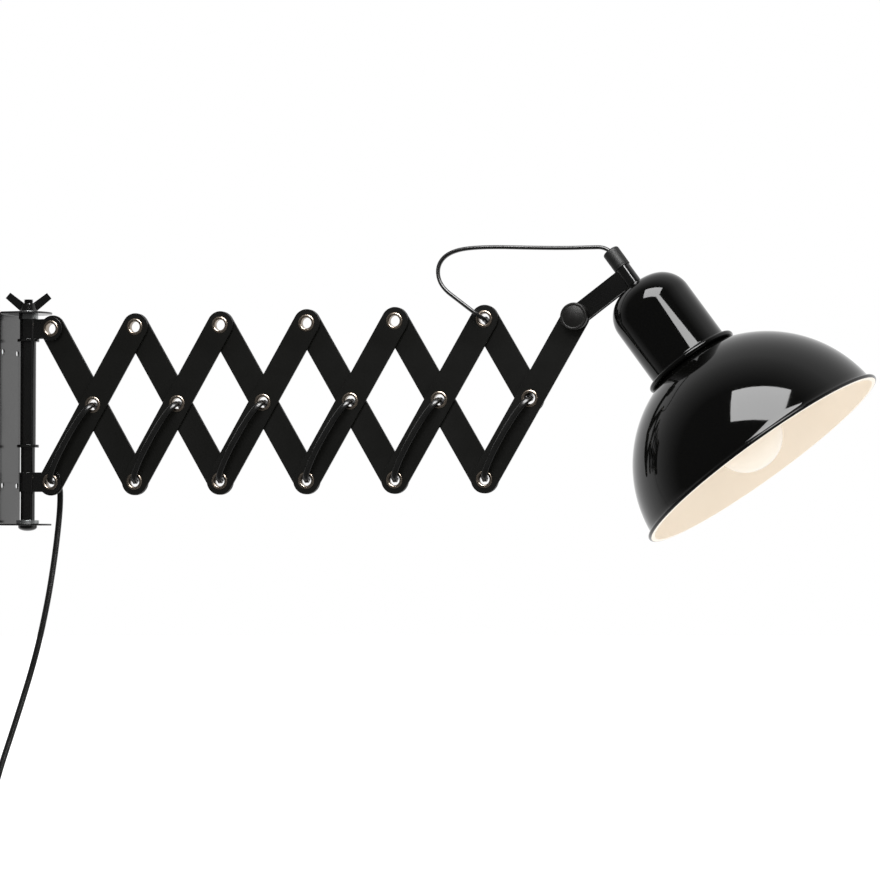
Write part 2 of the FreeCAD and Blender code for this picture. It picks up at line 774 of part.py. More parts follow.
# Dome: a near half sphere of sheet with a flat, pierced top and an out-turned, rolled rim.

inner_sphere = D.dome_radius - D.dome_wall
rim_above = D.dome_centre_drop - D.rim_drop
rim_top = rim_above + D.rim_bead_radius
rim_foot = rim_above - D.rim_bead_radius
rim_x = D.dome_radius + D.rim_reach - D.rim_bead_radius
dome_z = -D.dome_centre_drop
flat_foot = D.dome_centre_drop + seat_z - D.dome_wall
outer_start = angle_of(D.dome_seat_radius, D.dome_radius)
outer_stop = 90 - angle_of(rim_top, D.dome_radius)
inner_start = 90 - angle_of(rim_foot, inner_sphere)
inner_stop = 90 - angle_of(flat_foot, inner_sphere)
profile = [(D.dome_hole_radius, seat_z)]
profile += curve(0, dome_z, D.dome_radius, outer_start, outer_stop, 9)
profile += bead(rim_x, rim_above + dome_z, D.rim_bead_radius, 0, 180)
profile += curve(0, dome_z, inner_sphere, inner_start, inner_stop, 7)
profile += [(D.dome_hole_radius, flat_foot + dome_z)]
on_head(turned("dome", profile), "shade_dome")

# Lampholder and bulb.

holder_top = -D.holder_top_drop
bulb_tip = -D.rim_drop - D.bulb_past_rim
cap_top = bulb_tip + D.bulb_length
cap_foot = cap_top - D.cap_length
holder_foot = cap_foot - D.holder_cover
cap_hole = D.cap_radius + D.cap_gap
on_head(turned("holder", [
    (stem_seat, holder_top),
    (D.holder_neck_radius, holder_top),
    (D.holder_neck_radius, holder_top - D.holder_neck_length),
    (D.holder_radius, holder_top - D.holder_neck_length - 3),
    (D.holder_radius, holder_foot),
    (cap_hole, holder_foot),
    (cap_hole, cap_top + D.cap_gap),
    (0, cap_top + D.cap_gap),
    (0, -D.stem_below - D.seat_gap),
    (stem_seat, -D.stem_below - D.seat_gap),
]), "lampholder")
on_head(turned("screw_cap", [
    (0, cap_foot),
    (D.cap_radius, cap_foot),
    (D.cap_radius, cap_top - 4),
    (D.cap_radius - 7, cap_top),
    (0, cap_top),
]), "bulb_cap")
bulb_centre = bulb_tip + D.bulb_radius
flank_z = bulb_centre + D.bulb_radius * cosine(D.bulb_flank_angle)
throat_z = cap_foot - D.bulb_throat_length
throat_middle = (flank_z + throat_z) / 2
throat_bulge = D.bulb_throat_radius + D.bulb_flank_ease
profile = curve(0, bulb_centre, D.bulb_radius, size(180), D.bulb_flank_angle, 7)
profile += [
    (throat_bulge, throat_middle),
    (D.bulb_throat_radius, throat_z),
    (D.cap_radius - 0.2, cap_foot - D.seat_gap),
    (D.cap_radius - 0.2 - D.bulb_wall, cap_foot - D.seat_gap),
    (D.bulb_throat_radius - D.bulb_wall, throat_z),
    (throat_bulge - D.bulb_wall, throat_middle),
]
profile += curve(0, bulb_centre, D.bulb_radius - D.bulb_wall, D.bulb_flank_angle, size(180), 5)
on_head(turned("bulb", profile), "bulb_glass")


# Flat two-core cable. Its route is straight runs joined by tangent arcs, swept with the cable's flat section.

def vector(x, y, z):
    return FreeCAD.Vector(float(x), float(y), float(z))


def route(points, radii):
    """Runs and arcs through the points. radii gives some bends, and the rest are as large as the runs allow."""
    edges = []
    made = []
    here = points[0]
    for index in range(1, len(points) - 1):
        before = points[index] - points[index - 1]
        after = points[index + 1] - points[index]
        turn = before.getAngle(after)
        room = 0.45 * min(before.Length, after.Length)
        radius = radii.get(index, room / math.tan(turn / 2))
        back = radius * math.tan(turn / 2)
        before.normalize()
        after.normalize()
        start = points[index] - before * back
        stop = points[index] + after * back
        inward = after - before
        inward.normalize()
        crown = points[index] + inward * (radius / math.cos(turn / 2) - radius)
        edges.append(Part.LineSegment(here, start).toShape())
        edges.append(Part.Arc(start, crown, stop).toShape())
        here = stop
        made.append(radius)
    edges.append(Part.LineSegment(here, points[-1]).toShape())
    return Part.Wire(edges), made


def section(spot, along, across):
    """The cable's flat section at spot: across is its wide way."""
    along.normalize()
    thick = along.cross(across)
    thick.normalize()
    wide = thick.cross(along)
    half_wide = D.cable_width.value / 2
    half_thick = D.cable_height.value / 2
    corners = []
    for w, t in ((1, 1), (-1, 1), (-1, -1), (1, -1), (1, 1)):
        corners.append(spot + wide * (w * half_wide) + thick * (t * half_thick))
    return Part.makePolygon(corners)


def sweep(name, path, start, along, across, radii, wound=False):
    """Sweeps the section and prints how the tube's volume and bends came out. A wound one keeps its wide way."""
    profile = section(start, along, across)
    if wound:
        maker = Part.BRepOffsetAPI.MakePipeShell(path)
        maker.setBiNormalMode(across)
        maker.add(profile, False, False)
        maker.build()
        maker.makeSolid()
        shape = maker.shape()
    else:
        shape = path.makePipeShell([profile], True, False)
    area = Part.Face(profile).Area
    ratio = shape.Volume / (area * path.Length)
    least = min(radii) if radii else 0
    print("%s: length %.1f, volume / (section x length) %.4f, least radius %.1f, radii %s"
          % (name, path.Length, ratio, least, " ".join("%.0f" % radius for radius in radii)))
    return shape


def cable(name, label, points, across, radii, base, turn):
    path, made = route(points, radii)
    shape = sweep(label, path, points[0], points[1] - points[0], across, made)
    item = document.addObject("Part::Feature", name)
    item.Shape = shape
    item.Placement = FreeCAD.Placement(base, FreeCAD.Rotation(AXES["Y"], turn))
    keep(item, label)
    return path.Length


def woven(name, label, sign, x, z, turn):
    """The cable beside one half of a bar, from bore to bore, in front (sign -1) or behind (sign 1)."""
    length = D.link_half.value
    off = sign * D.cable_stand_off.value
    bow = D.cable_bow.value
    shoulder = D.cable_shoulder.value
    points = [
        vector(0, 0, 0),
        vector(0, off, 0),
        vector(-bow, off * 1.03, -shoulder),
        vector(-bow, off * 1.03, shoulder - length),
        vector(0, off, -length),
        vector(0, 0, -length),
    ]
    fold = D.cable_fold.value
    return cable(name, label, points, vector(1, 0, 0), {1: fold, 4: fold}, vector(x, 0, z), turn)


woven_length = 0
middle = (PIVOT_TOP - STEP_UP).value
half_angle = D.half_angle.value
for number in range(1, 7):
    x = middle_pivot(number).value
    woven_length += woven("cable_front_%d" % number, "front_cable_%d" % number, -1, x, middle, half_angle)
    if number < 6:
        woven_length += woven("cable_back_%d" % number, "back_cable_%d" % number, 1, x, middle, -half_angle)
x = top_pivot(5).value
woven_length += woven("cable_back_6", "back_cable_6", 1, x, PIVOT_TOP.value, -half_angle)

# The free loop from the last upper eyelet over the top into the cord grip, in two stretches.

loop_start = vector(top_pivot(5).value, 0, PIVOT_TOP.value)
up = vector(-math.sin(math.radians(D.head_tilt.value)), 0, math.cos(math.radians(D.head_tilt.value)))
strap_centre = vector(STRAP_X.value, 0, STRAP_Z.value)
grip_mouth = strap_centre + up * grip_top.value
last_bend = vector(414.5, -3.2, 134.2)
split = vector(442, -2.1, 133.0)
onward = split - last_bend
onward.normalize()
loop_one = [
    loop_start,
    loop_start + vector(0, -8.5, 0),
    vector(403.5, -9.5, 89.0),
    vector(385.5, -8.5, 102.5),
    vector(382.0, -6.5, 119.0),
    vector(391.5, -4.5, 130.5),
    last_bend,
    split,
]
loop_two = [
    split + onward * 0.05,
    split + onward * 25.0,
    vector(490, -0.4, 131.2),
    vector(507, 0, 131.2),
    grip_mouth + up * 3.6,
    grip_mouth - up * 4.0,
]
origin = vector(0, 0, 0)
loop_length = cable("loop_low", "head_loop_1", loop_one, vector(0, 0, 1), {1: 5.0}, origin, 0)
loop_length += cable("loop_high", "head_loop_2", loop_two, vector(0, 1, 0), {}, origin, 0)

# The mains lead: out of the lowest eyelet at the back, down past the bracket and along the wall to its coil.

coil_x = 7.0
coil_y = -98.0
coil_z = -398.0
lead_out = vector(PIVOT_FIRST.value, 0, PIVOT_BOTTOM.value)
lead_end = vector(coil_x, coil_y + D.coil_radius.value, coil_z + 5.2)
lead = [
    lead_out,
    lead_out + vector(0, 16.5, 0),
    vector(38.8, 20.5, -70.0),
    vector(38.4, 17.0, -93.0),
    vector(37.2, 10.5, -124.0),
    vector(35.5, 2.0, -156.0),
    vector(30.0, -8.5, -200.0),
    vector(20.5, -24.0, -250.0),
    vector(10.5, -44.0, -303.0),
    vector(7.0, -58.5, -350.0),
    vector(coil_x, lead_end.y, -375.0),
    lead_end,
]
lead_length = cable("lead_down", "mains_lead", lead, vector(1, 0, 0), {}, origin, 0)


# The coil: two layers, spiralling in and out again by half turns, with the climb in the half turn between.

def half_turn(start, stop, down):
    """An arc from start to stop across the coil's middle, below it (down) or above."""
    middle_point = (start + stop) * 0.5
    radius = (stop - start).Length / 2
    crown = middle_point + vector(0, 0, -radius if down else radius)
    return Part.Arc(start, crown, stop).toShape(), radius


def climb(start, stop, heading):
    """Two quarter turns that leave start along heading and reach stop along its opposite."""
    reach = (stop - start).Length / 2
    joint = (start + stop) * 0.5 + heading * reach
    arcs = []
    for first, corner, last in ((start, start + heading * reach, joint), (joint, stop + heading * reach, stop)):
        inward = (first - corner) + (last - corner)
        inward.normalize()
        half = (first - corner).getAngle(last - corner) / 2
        tangent = (first - corner).Length
        radius = tangent * math.tan(half)
        crown = corner + inward * (tangent / math.cos(half) - radius)
        arcs.append(Part.Arc(first, crown, last).toShape())
    return arcs, radius


def coil_path():
    outer = D.coil_radius.value
    pitch = D.coil_turn_pitch.value
    layer = D.coil_layer_pitch.value
    inward = int(D.coil_half_turns.value)
    stops = []
    for number in range(inward + 1):
        side = outer - pitch * (number // 2)
        stops.append((0, side if number % 2 == 0 else -side))
    rise = []
    for number in range(inward):
        side = outer - pitch * ((inward - number) // 2)
        rise.append((layer, -side if number % 2 == 0 else side))
    spots = [vector(coil_x + depth, coil_y + side, coil_z) for depth, side in stops]
    turns = [vector(coil_x + depth, coil_y + side, coil_z) for depth, side in rise]
    edges = [Part.LineSegment(lead_end, spots[0]).toShape()]
    radii = []
    down = True
    for first, last in zip(spots, spots[1:]):
        edge, radius = half_turn(first, last, down)
        edges.append(edge)
        radii.append(radius)
        down = not down
    arcs, radius = climb(spots[-1], turns[0], vector(0, 0, -1))
    edges += arcs
    radii.append(radius)
    down = False
    for first, last in zip(turns, turns[1:]):
        edge, radius = half_turn(first, last, down)
        edges.append(edge)
        radii.append(radius)
        down = not down
    tail = turns[-1] - vector(0, 0, D.coil_tail.value)
    edges.append(Part.LineSegment(turns[-1], tail).toShape())
    return Part.Wire(edges), radii, tail


def least_gap(path):
    """The least distance of the coil's centre line to itself, apart from its own neighbourhood."""
    step = 2.0
    spots = path.discretize(Distance=step)
    near = int(40 / step)
    least = 1e9
    for index, spot in enumerate(spots):
        for other in spots[index + near:]:
            least = min(least, spot.distanceToPoint(other))
    return least


coil_wire, coil_radii, coil_end = coil_path()
coil_shape = sweep("mains_coil", coil_wire, lead_end, vector(0, 0, -1), vector(1, 0, 0), coil_radii, True)
coil = document.addObject("Part::Feature", "coil")
coil.Shape = coil_shape
coil.Placement = FreeCAD.Placement(origin, FreeCAD.Rotation(AXES["Y"], 0))
keep(coil, "mains_coil")
print("coil: least distance between centre lines %.2f, least gap about %.2f"
      % (least_gap(coil_wire), min(D.coil_turn_pitch.value - D.cable_height.value,
                                   D.coil_layer_pitch.value - D.cable_width.value)))
print("cord: woven %.0f, loop %.0f, lead %.0f, coil %.0f, all %.0f"
      % (woven_length, loop_length, lead_length, coil_wire.Length,
         woven_length + loop_length + lead_length + coil_wire.Length))

# The tie round the coil's far side, and the plug that hangs from the coil's end.

tie_inside_x = D.coil_layer_pitch + D.cable_width + 2 * D.tie_gap
tie_turns = int(D.coil_half_turns.value) // 2
tie_inside_y = tie_turns * D.coil_turn_pitch + D.cable_height + 2 * D.tie_gap
tie_x = coil_x - D.cable_width / 2 - D.tie_gap
tie_y = coil_y - D.coil_radius - D.cable_height / 2 - D.tie_gap
tie_outer = block("tie_outer", tie_inside_x + 2 * D.tie_sheet, tie_inside_y + 2 * D.tie_sheet, D.tie_length,
                  tie_x - D.tie_sheet, tie_y - D.tie_sheet, coil_z - D.tie_length / 2)
tie_inner = block("tie_inner", tie_inside_x, tie_inside_y, 2 * D.tie_length, tie_x, tie_y, coil_z - D.tie_length)
keep(cut("tie", tie_outer, [tie_inner]), "coil_tie")

plug_top = -D.plug_neck_length
plug_foot = -D.plug_neck_length - D.plug_length
plug = plate("plug", [
    (-D.plug_neck_width / 2, 0),
    (-D.plug_neck_width / 2, plug_top),
    (-D.plug_width / 2, plug_top - D.plug_neck_length),
    (-D.plug_width / 2, plug_foot),
    (D.plug_width / 2, plug_foot),
    (D.plug_width / 2, plug_top - D.plug_neck_length),
    (D.plug_neck_width / 2, plug_top),
    (D.plug_neck_width / 2, 0),
], D.plug_depth, "YZ_Plane")
plug_x = coil_x + D.coil_layer_pitch
plug_y = coil_y + D.coil_radius
plug_z = coil_z - D.coil_tail
place(plug, plug_x, plug_y, plug_z)
keep(plug, "plug_body")
pins = []
for side in (-1, 1):
    pins.append(rod("pin", D.pin_radius, D.pin_length, plug_x, plug_y + side * D.pin_apart / 2,
                    plug_z + plug_foot - D.pin_length))
keep(together("pins", pins), "plug_pins")

# Everything is recomputed, looked over and written out.

document.recompute()
for item in document.Objects:
    if "Invalid" in item.State or "Error" in item.State:
        raise RuntimeError("%s failed: %s" % (item.Name, item.State))
labels = [piece.Label for piece in pieces]
if len(set(labels)) != len(labels):
    raise RuntimeError("two sub-parts share a label")
for piece in pieces:
    if piece.Shape.isNull() or not piece.Shape.isValid() or piece.Shape.Volume <= 0:
        raise RuntimeError("%s has no valid shape" % piece.Label)
for piece in pieces:
    piece.Shape.exportStep("parts/%s.step" % piece.Label)
print("%d sub-parts written" % len(pieces))
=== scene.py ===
import math
import bmesh
import bpy
from mathutils import Matrix, Vector


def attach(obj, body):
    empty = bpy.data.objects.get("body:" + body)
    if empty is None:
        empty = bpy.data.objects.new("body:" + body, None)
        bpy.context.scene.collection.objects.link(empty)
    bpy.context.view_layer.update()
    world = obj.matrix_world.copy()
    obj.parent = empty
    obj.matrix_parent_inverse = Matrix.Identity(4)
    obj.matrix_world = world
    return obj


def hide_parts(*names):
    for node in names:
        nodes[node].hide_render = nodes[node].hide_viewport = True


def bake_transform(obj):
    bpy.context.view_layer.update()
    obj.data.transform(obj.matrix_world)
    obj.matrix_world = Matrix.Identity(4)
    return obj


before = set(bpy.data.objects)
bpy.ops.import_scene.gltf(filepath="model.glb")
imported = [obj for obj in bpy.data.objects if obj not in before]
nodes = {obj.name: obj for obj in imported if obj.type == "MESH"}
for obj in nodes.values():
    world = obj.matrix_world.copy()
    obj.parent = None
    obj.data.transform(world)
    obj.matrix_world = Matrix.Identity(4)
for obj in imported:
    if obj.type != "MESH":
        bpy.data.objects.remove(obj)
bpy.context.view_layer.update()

# Wall bracket. One steel sheet bent to a channel, its two flanges rounded about the post and its plate
# screwed to the wall through four holes. Semi-gloss black paint lies over its punched edges.

MM = 0.001


def linear(code):
    """An sRGB hex value as linear red, green and blue, with alpha."""
    parts = [int(code[start:start + 2], 16) / 255 for start in (1, 3, 5)]
    return [part / 12.92 if part <= 0.04045 else ((part + 0.055) / 1.055) ** 2.4 for part in parts] + [1.0]


def per_mm(size):
    """The texture scale at which one cell measures that many millimetres."""
    return 1000 / size


def add_node(tree, kind, settings, links=()):
    """Adds a node. Settings are properties or socket values, and links name the outputs that feed sockets."""
    node = tree.nodes.new("ShaderNode" + kind)
    for name, value in settings.items():
        if isinstance(name, int) or name in node.inputs:
            node.inputs[name].default_value = value
        else:
            setattr(node, name, value)
    for name, source in dict(links).items():
        tree.links.new(source, node.inputs[name])
    return node


def surface(name, light, dark, rough, spread, patch, grain, height, metallic=0.0, specular=0.5):
    """A finish: two near tones and a roughness that drift over patches, and a fine bump, in millimetres."""
    finish = bpy.data.materials.new(name)
    finish.use_nodes = True
    tree = finish.node_tree
    shader = tree.nodes["Principled BSDF"]
    shader.inputs["Metallic"].default_value = metallic
    shader.inputs["Specular IOR Level"].default_value = specular
    place = add_node(tree, "TexCoord", {}).outputs["Object"]
    drift = add_node(tree, "TexNoise", {"Scale": per_mm(patch), "Detail": 3.0}, {"Vector": place})
    tone = add_node(tree, "Mix", {"data_type": "RGBA", 6: linear(dark), 7: linear(light)},
                    {0: drift.outputs[0]})
    gloss = add_node(tree, "MapRange", {"From Min": 0.3, "From Max": 0.7, "To Min": rough - spread,
                                        "To Max": rough + spread}, {"Value": drift.outputs[0]})
    fine = add_node(tree, "TexNoise", {"Scale": per_mm(grain), "Detail": 2.0}, {"Vector": place})
    relief = add_node(tree, "Bump", {"Strength": 1.0, "Distance": height * MM}, {"Height": fine.outputs[0]})
    tree.links.new(tone.outputs[2], shader.inputs["Base Color"])
    tree.links.new(gloss.outputs["Result"], shader.inputs["Roughness"])
    tree.links.new(relief.outputs["Normal"], shader.inputs["Normal"])
    return finish


def dress(node, finish, edge):
    """Gives a CAD node its finish and rounds its edges by that many millimetres."""
    piece = nodes[node]
    for place in piece.material_slots:
        place.material = finish
    weld = piece.modifiers.new("weld", "WELD")
    weld.merge_threshold = 0.01 * MM
    rounding = piece.modifiers.new("rounding", "BEVEL")
    rounding.width = edge * MM
    rounding.segments = 2
    rounding.limit_method = "ANGLE"
    rounding.angle_limit = math.radians(35)
    shading = piece.modifiers.new("shading", "WEIGHTED_NORMAL")
    shading.keep_sharp = False
    return piece


# Semi-gloss stoving paint on steel: a near black film whose faint orange peel softens what it mirrors.
stoved_black = surface("stoved_paint_black", "#151515", "#111111", 0.20, 0.04, 30, 1.6, 0.004, specular=0.65)
dress("wall_bracket", stoved_black, 0.25)

# Post. A turned steel rod with a domed head below and an 8 mm thread above, in a tube and two rings that
# set the straps' travel, all painted gloss black. The spacer washers at both flanges are bare zinc plate.


def arc(across, up, radius, start, stop, steps, squash=1.0):
    """Corners along an arc, its angles measured from upright towards the outside, in degrees."""
    corners = []
    for step in range(steps + 1):
        angle = math.radians(start + (stop - start) * step / steps)
        corners.append((across + radius * math.sin(angle), up + radius * squash * math.cos(angle)))
    return corners


def made(name, corners, faces, kinds, place, finishes, sharp=40):
    """A new piece from corners in metres and faces, each face with its finish's number."""
    mesh = bpy.data.meshes.new(name)
    mesh.from_pydata(corners, [], faces)
    mesh.polygons.foreach_set("material_index", kinds)
    mesh.polygons.foreach_set("use_smooth", [True] * len(faces))
    shape = bmesh.new()
    shape.from_mesh(mesh)
    bmesh.ops.recalc_face_normals(shape, faces=shape.faces)
    shape.to_mesh(mesh)
    shape.free()
    for finish in finishes:
        mesh.materials.append(finish)
    mesh.set_sharp_from_angle(angle=math.radians(sharp))
    piece = bpy.data.objects.new(name, mesh)
    bpy.context.collection.objects.link(piece)
    piece.matrix_world = place
    return piece


def turned(name, profile, place, finishes, sides=96, inner=None):
    """A turned piece from a closed profile of radius and height in mm, with finish 1 from corner inner on."""
    corners, rows, faces, kinds = [], [], [], []
    for radius, height in profile:
        if radius < 1e-6:
            rows.append([len(corners)] * sides)
            corners.append((0.0, 0.0, height * MM))
            continue
        rows.append(list(range(len(corners), len(corners) + sides)))
        for step in range(sides):
            turn = 2 * math.pi * step / sides
            corners.append((radius * MM * math.cos(turn), radius * MM * math.sin(turn), height * MM))
    for number, (low, high) in enumerate(zip(rows, rows[1:] + rows[:1])):
        for step in range(sides):
            after = (step + 1) % sides
            face = list(dict.fromkeys([low[step], low[after], high[after], high[step]]))
            if len(face) > 2:
                faces.append(face)
                kinds.append(1 if inner is not None and number >= inner else 0)
    return made(name, corners, faces, kinds, place, finishes)


# Gloss stoving paint on turned steel: deep black with sharp, narrow lights along each round.
gloss_black = surface("stoved_paint_gloss", "#0e0e0d", "#0a0a0a", 0.12, 0.03, 25, 1.2, 0.003, specular=0.5)
# Bright zinc on pressed washers: a cool grey metal, a little cloudy from its tumbled plating.
zinc = surface("zinc_plate", "#a9abab", "#8f9292", 0.34, 0.08, 6, 0.5, 0.008, metallic=1.0)

THREAD_PITCH = 1.25
POST_DISTANCE = 0.018
stud = []
for turn_number in range(8):
    foot = 91.4 + THREAD_PITCH * turn_number
    stud += [(3.4, foot - 0.15), (3.4, foot + 0.05), (4.0, foot + 0.55), (4.0, foot + 0.65)]
post_profile = [(0, -94.6)] + arc(0, -91.2, 8.0, 170, 90, 9, 3.4 / 8.0)
post_profile += [(8.0, -90.15), (7.85, -90.0), (6.0, -90.0), (6.0, 88.2), (5.7, 88.5), (4.0, 88.5),
                 (4.0, 91.2)]
post_profile += stud + [(3.3, 101.0), (0, 101.0)]
post = turned("post_turned", post_profile, Matrix.Translation((POST_DISTANCE, 0, 0)), [gloss_black], sides=64)
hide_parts("post_rod")
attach(post, "bracket")
dress("post_sleeve", gloss_black, 0.2)
dress("post_rings", gloss_black, 0.3)
dress("post_washers", zinc, 0.2)

# Wing nut. A pressed steel nut with two wings, dipped in the same black paint. It screws on the post's
# thread and clamps it to the bracket's top flange.

dress("wing_nut", gloss_black, 0.55)

# Straps. Each is one strip of steel wrapped round the post, its two ends left side by side as ears for a
# bar's pivot. The upper one turns on the post, and the lower one also slides as the arm opens and closes.

dress("upper_clamp", gloss_black, 0.22)
dress("lower_clamp", gloss_black, 0.22)

# Bars. Flat steel with half-round ends and punched holes, tumbled so that their edges are round, and then
# powder coated in satin black. Front and back bars lie in two layers with a hair's gap between them.

# Satin powder coat: an even black with a fine pebbled skin, drawn at 0.6 mm where the real grain is finer.
powder_black = surface("powder_coat_satin", "#10100e", "#0d0d0b", 0.34, 0.05, 40, 0.6, 0.006, specular=0.2)
BAR_HALF_WIDE = 11.4
BAR_HALF_LONG = 75.0
BAR_HALF_THICK = 1.0
BAR_LAYER = 1.05
BAR_LEAN = 30.5
BAR_HOLE = 5.05
END_STEPS, HOLE_STEPS = 16, 24
PIVOT_TOP = 75.8
STEP_ACROSS = 38.0654
STEP_UP = 64.6219
PIVOT_FIRST = 40.0


def flat_bar(name, lean, x, z, holes, layer, body):
    """A bar about its middle hole, in mm: two halves that meet on its long axis, so its flats stay flat."""
    low, high = min(holes), max(holes)
    quarter = [math.pi * step / 2 / END_STEPS for step in range(END_STEPS + 1)]
    half = [(BAR_HALF_WIDE * math.sin(turn), high + BAR_HALF_WIDE * math.cos(turn)) for turn in quarter]
    half += [(BAR_HALF_WIDE * math.cos(turn), low - BAR_HALF_WIDE * math.sin(turn)) for turn in quarter]
    for hole in sorted(holes):
        for step in range(HOLE_STEPS + 1):
            turn = math.pi * step / HOLE_STEPS
            half.append((BAR_HOLE * math.sin(turn), hole - BAR_HOLE * math.cos(turn)))
    corners, faces = [], []
    for side in (1, -1):
        base = len(corners)
        count = len(half)
        for depth in (-BAR_HALF_THICK, BAR_HALF_THICK):
            corners += [(side * w * MM, (layer + depth) * MM, h * MM) for w, h in half]
        faces.append([base + step for step in range(count)])
        faces.append([base + count + step for step in reversed(range(count))])
        for step in range(count):
            after = (step + 1) % count
            if abs(half[step][0]) > 1e-6 or abs(half[after][0]) > 1e-6:
                faces.append([base + step, base + count + step, base + count + after, base + after])
    place = Matrix.Translation((x * MM, 0, z * MM)) @ Matrix.Rotation(math.radians(lean), 4, "Y")
    bar = made(name, corners, faces, [0] * len(faces), place, [powder_black], sharp=30)
    shape = bmesh.new()
    shape.from_mesh(bar.data)
    bmesh.ops.remove_doubles(shape, verts=shape.verts, dist=0.002 * MM)
    bmesh.ops.recalc_face_normals(shape, faces=shape.faces)
    shape.to_mesh(bar.data)
    shape.free()
    rounding = bar.modifiers.new("rounding", "BEVEL")
    rounding.width = 0.35 * MM
    rounding.segments = 3
    rounding.limit_method = "ANGLE"
    rounding.angle_limit = math.radians(60)
    bar.modifiers.new("shading", "WEIGHTED_NORMAL").keep_sharp = False
    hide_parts(name.replace("flat_", ""))
    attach(bar, body)


for number in range(1, 7):
    middle = PIVOT_FIRST + (2 * number - 1) * STEP_ACROSS
    ends = (-BAR_HALF_LONG, 0.0, BAR_HALF_LONG)
    flat_bar("flat_front_bar_%d" % number, BAR_LEAN, middle, PIVOT_TOP - STEP_UP, ends, -BAR_LAYER,
             "front_%d" % number)
    flat_bar("flat_back_bar_%d" % number, -BAR_LEAN, middle, PIVOT_TOP - STEP_UP,
             ends if number < 6 else ends[1:], BAR_LAYER, "back_%d" % number)

# Eyelets. Hollow brass rivets, nickel plated, rolled over to a round lip in front and flared behind. They
# are the arm's pivots, and carry the cable. Those at the straps are longer and have a steel spacer disc.

# Warm nickel plate on drawn brass: a soft, slightly cloudy lustre with a yellow cast.
nickel = surface("nickel_plate", "#a1968a", "#8a7e70", 0.27, 0.05, 4, 0.35, 0.004, metallic=1.0)

BARS_HALF = 2.1
STRAPS_HALF = 3.35
RIVET_TUBE = 5.0
LIP_MIDDLE, LIP_WIDE = 5.725, 1.275
LIP_HIGH, FLARE_HIGH = 0.9, 0.8


def across_bars(x, z, y=0.0):
    """A place on the arm in mm, with the piece's own upright axis turned towards the front."""
    return Matrix.Translation((x * MM, y * MM, z * MM)) @ Matrix.Rotation(math.radians(90), 4, "X")


def rivet(name, x, z, half, node, body):
    """One hollow rivet, front lip first, through a stack of that half thickness."""
    profile = arc(LIP_MIDDLE, half, LIP_WIDE, -90, 90, 12, LIP_HIGH / LIP_WIDE)
    profile += [(RIVET_TUBE, half), (RIVET_TUBE, -half)]
    profile += arc(LIP_MIDDLE, -half, LIP_WIDE, 90, 270, 8, FLARE_HIGH / LIP_WIDE)
    piece = turned(name, profile, across_bars(x, z), [nickel], sides=48)
    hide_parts(node)
    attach(piece, body)


rivet("rivet_t0", PIVOT_FIRST, PIVOT_TOP, STRAPS_HALF, "upper_eyelet", "arm_base")
rivet("rivet_b0", PIVOT_FIRST, PIVOT_TOP - 2 * STEP_UP, STRAPS_HALF, "lower_eyelet", "slider")
for name, height, depth, node, body in (
        ("spacer_t0", PIVOT_TOP, -0.05, "upper_eyelet", "arm_base"),
        ("spacer_b0", PIVOT_TOP - 2 * STEP_UP, 2.05, "lower_eyelet", "slider")):
    disc_profile = [(5.1, 0), (7.8, 0), (8.0, 0.2), (8.0, 1.8), (7.8, 2.0), (5.1, 2.0)]
    disc = turned(name, disc_profile, across_bars(PIVOT_FIRST, height, depth), [zinc], sides=48)
    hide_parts(node)
    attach(disc, body)
for number in range(1, 7):
    node, body = "eyelets_%d" % number, "front_%d" % number
    middle = PIVOT_FIRST + (2 * number - 1) * STEP_ACROSS
    rivet("rivet_m%d" % number, middle, PIVOT_TOP - STEP_UP, BARS_HALF, node, body)
    if number > 1:
        rivet("rivet_b%d" % (number - 1), middle - STEP_ACROSS, PIVOT_TOP - 2 * STEP_UP, BARS_HALF, node,
              body)
    if number < 6:
        rivet("rivet_t%d" % number, middle + STEP_ACROSS, PIVOT_TOP, BARS_HALF, node, body)

# Woven cable. Flat two-core flex in a soft black PVC sheath. It runs from rivet to rivet, in front of each
# front bar's lower half and behind each back bar's, and moves with the bar that it lies against.

CABLE_WIDE = 5.2
CABLE_THICK = 3.3
# Soft PVC sheath: black with a waxy sheen, and the slight ripple of the cores under it.
pvc_black = surface("pvc_sheath_black", "#0f0f0e", "#0b0b0a", 0.26, 0.04, 18, 2.4, 0.006, specular=0.45)


def line_through(corners, steps):
    """Points along a smooth spline that has these corners as its control points."""
    curve = bpy.data.curves.new("route", "CURVE")
    curve.dimensions = "3D"
    spline = curve.splines.new("NURBS")
    spline.points.add(len(corners) - 1)
    for point, corner in zip(spline.points, corners):
        point.co = (*corner, 1.0)
    spline.order_u = 3
    spline.use_endpoint_u = True
    curve.resolution_u = steps
    holder = bpy.data.objects.new("route", curve)
    mesh = bpy.data.meshes.new_from_object(holder)
    points = [vertex.co.copy() for vertex in mesh.vertices]
    bpy.data.objects.remove(holder)
    bpy.data.curves.remove(curve)
    bpy.data.meshes.remove(mesh)
    return points


